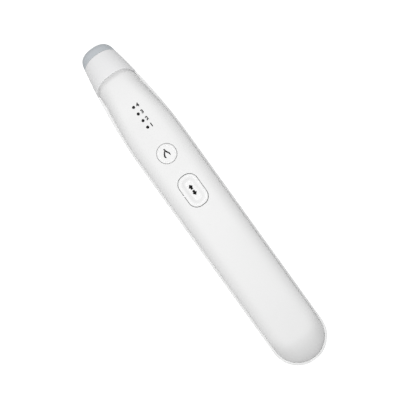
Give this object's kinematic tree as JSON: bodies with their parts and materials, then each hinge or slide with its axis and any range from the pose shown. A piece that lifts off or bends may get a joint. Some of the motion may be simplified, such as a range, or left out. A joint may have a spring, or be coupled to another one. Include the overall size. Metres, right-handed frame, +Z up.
{
  "type": "intraoral camera",
  "caption": "Wireless hand-held intraoral camera: slim white wand, slanted grey camera tip, round heat key, two-way level key and small level lights.",
  "frame": {"origin": "on the table under the middle of the wand, at the centre of the underside of its bounding box", "axes": "+Y along the wand towards the camera tip, +Z up through the keys, +X to the right seen from above with the tip away from you"},
  "size_m": [0.029, 0.1899, 0.0223],
  "materials": {
    "shell_white": "moulded satin white",
    "sleeve_white": "moulded satin white",
    "key_white": "fine satin white",
    "tip_grey": "fine matte grey",
    "smoked": "smoked, polished",
    "dark_plastic": "moulded black",
    "switch_rubber": "soft black",
    "seal_rubber": "soft grey",
    "board_green": "solder-masked board",
    "flex_amber": "amber film",
    "chip_black": "moulded black",
    "steel": "plain stainless",
    "gold": "gold plated",
    "led_white": "clear over pale phosphor",
    "cell_blue": "shrink sleeve",
    "wire_red": "wire insulation",
    "wire_black": "wire insulation",
    "glass": "polished, coated"
  },
  "bodies": {
    "wand": {"top_cover": "shell_white", "lower_shell": "shell_white", "housing_seal": "seal_rubber", "nose_sleeve": "sleeve_white", "tip_ring": "tip_grey", "level_key_pin": "steel", "heat_switch": "dark_plastic", "level_up_switch": "dark_plastic", "level_down_switch": "dark_plastic", "main_board": "board_green", "processor_chip": "chip_black", "wireless_module": "steel", "sensor_socket": "dark_plastic", "light_guide": "smoked", "level_light_1": "led_white", "level_light_2": "led_white", "level_light_3": "led_white", "level_light_4": "led_white", "board_screw_1": "steel", "board_screw_2": "steel", "battery_cradle": "dark_plastic", "battery": "cell_blue", "battery_socket": "dark_plastic", "battery_lead_red": "wire_red", "battery_lead_black": "wire_black", "charge_contact_1": "gold", "charge_contact_2": "gold", "charge_board": "board_green", "housing_screw_1": "steel", "screw_plug_1": "seal_rubber", "housing_screw_2": "steel", "screw_plug_2": "seal_rubber", "housing_screw_3": "steel", "screw_plug_3": "seal_rubber", "housing_screw_4": "steel", "screw_plug_4": "seal_rubber", "front_window": "glass", "window_heater": "flex_amber", "window_gasket": "seal_rubber", "led_board": "dark_plastic", "head_led_1": "led_white", "head_led_2": "led_white", "head_led_3": "led_white", "head_led_4": "led_white", "head_led_5": "led_white", "head_led_6": "led_white", "lens_barrel": "dark_plastic", "front_lens": "glass", "rear_lens": "glass", "camera_holder": "dark_plastic", "infrared_filter": "glass", "image_sensor": "chip_black", "sensor_board": "board_green", "sensor_flex": "flex_amber"},
    "heat_key_body": {"heat_key": "key_white", "heat_plunger": "switch_rubber"},
    "level_key_body": {"level_key": "key_white", "level_up_plunger": "switch_rubber", "level_down_plunger": "switch_rubber"}
  },
  "joints": [
    {"name": "heat_key_press", "type": "slide", "parent": "wand", "child": "heat_key_body", "axis": [0, 0, -1], "range_m": [0, 0.0005], "stiffness_N_per_m": 1000},
    {"name": "level_key_rock", "type": "hinge", "parent": "wand", "child": "level_key_body", "pos_m": [0, 0.0085, 0.018], "axis": [1, 0, 0], "range_deg": [-3, 3], "stiffness_Nm_per_rad": 0.2}
  ]
}
